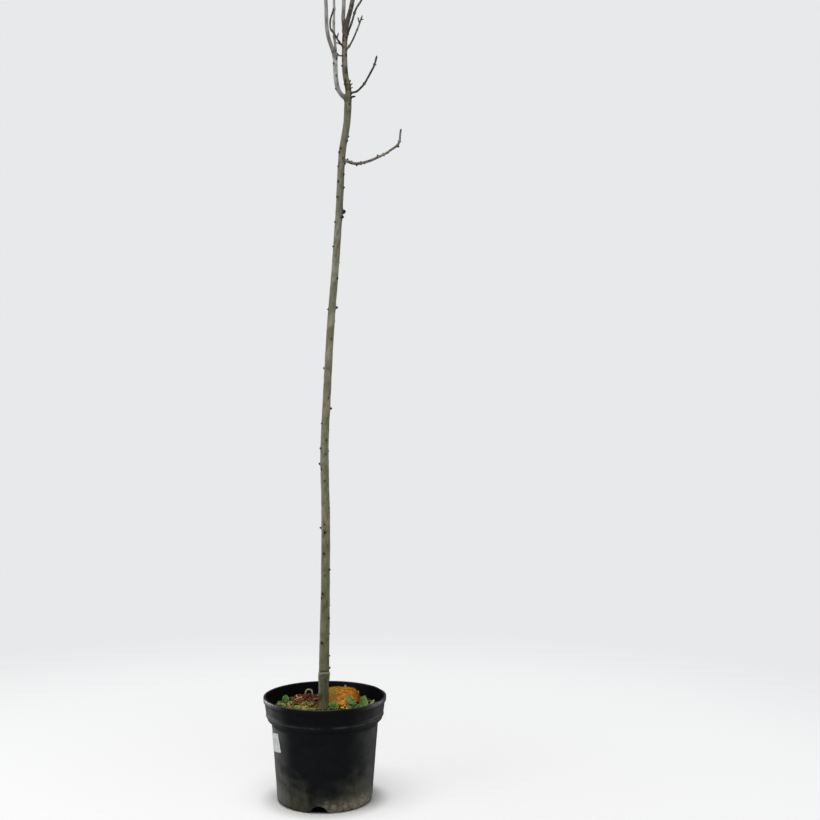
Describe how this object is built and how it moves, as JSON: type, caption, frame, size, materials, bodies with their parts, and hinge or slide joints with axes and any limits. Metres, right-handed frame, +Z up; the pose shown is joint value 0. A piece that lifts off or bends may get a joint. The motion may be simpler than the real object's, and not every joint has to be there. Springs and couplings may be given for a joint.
{
  "type": "potted green ash",
  "caption": "Young leafless ash tree with a whippy trunk, upright forked boughs and opposite twigs, in a black plastic nursery pot filled with potting soil.",
  "frame": {"origin": "centre of the pot's flat underside", "axes": "+Z up along the trunk, -Y towards the side seen in the picture, +X to the right as seen from there"},
  "size_m": [0.4027, 0.4197, 2.9509],
  "materials": {
    "pot": "satin",
    "soil": "matte",
    "bark": "matte",
    "twigs": "matte"
  },
  "bodies": {
    "root": {"pot": "pot", "soil": "soil", "trunk": "bark", "leader_bough": "bark", "left_bough": "bark", "left_outer_bough": "bark", "leader_right_bough": "bark", "leader_left_bough": "bark", "hooked_bough": "bark", "low_bough": "bark", "leader_right_twigs": "twigs", "left_outer_twigs": "twigs", "leader_left_twigs": "twigs", "left_inner_twigs": "twigs", "long_right_twig": "twigs", "crossing_twig": "twigs", "short_right_twig": "twigs"}
  },
  "joints": []
}
